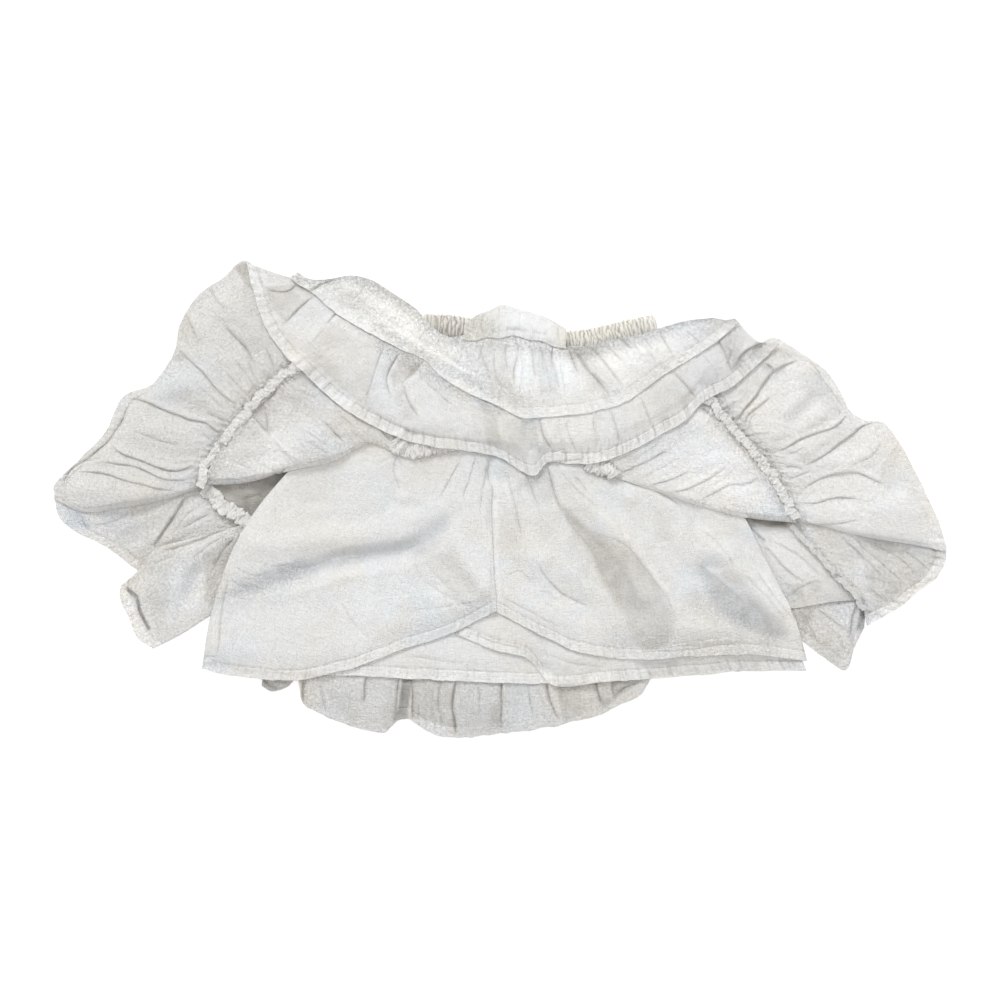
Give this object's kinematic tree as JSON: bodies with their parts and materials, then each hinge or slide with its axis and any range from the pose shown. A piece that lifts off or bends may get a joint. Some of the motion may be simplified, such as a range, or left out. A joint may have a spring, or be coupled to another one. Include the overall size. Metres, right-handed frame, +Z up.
{
  "type": "tiered ruffle skirt with built-in shorts",
  "caption": "Ruffled cotton skirt with built-in flared shorts, laid flat with its front flounce lifted over the waist so that the shorts show, gathered seams and an elastic back waist.",
  "frame": {"origin": "centre of the garment's box, at the surface it lies on", "axes": "+X across the garment towards the viewer's right, +Y towards the waist, +Z up from the surface"},
  "size_m": [0.894, 0.479, 0.0416],
  "materials": {
    "cotton_right_side": "matte slubby off-white cotton, right side out",
    "cotton_wrong_side": "matte slubby off-white cotton, wrong side out",
    "gathered_seam": "matte off-white gathered seam allowance",
    "elastic_waist": "matte cream cotton over elastic"
  },
  "bodies": {
    "root": {"tier_1": "cotton_right_side", "tier_2": "cotton_right_side", "shorts_front_left": "cotton_right_side", "shorts_front_right": "cotton_right_side", "shorts_back_left": "cotton_right_side", "shorts_back_right": "cotton_right_side", "waistband_front": "cotton_right_side", "front_flounce_left": "cotton_wrong_side", "front_flounce_right": "cotton_wrong_side", "front_tier_left": "cotton_wrong_side", "front_tier_right": "cotton_wrong_side", "front_gathered_folds": "cotton_wrong_side", "back_tier": "cotton_wrong_side", "back_flounce_centre": "cotton_wrong_side", "back_flounce_left_inner": "cotton_wrong_side", "back_flounce_left_outer": "cotton_wrong_side", "back_flounce_right": "cotton_wrong_side", "back_flounce_right_under": "cotton_wrong_side", "front_seam_left": "gathered_seam", "front_seam_right": "gathered_seam", "front_seam_centre_left": "gathered_seam", "front_seam_centre_right": "gathered_seam", "back_seam_left": "gathered_seam", "back_seam_right": "gathered_seam", "waistband_back": "elastic_waist"}
  },
  "joints": []
}
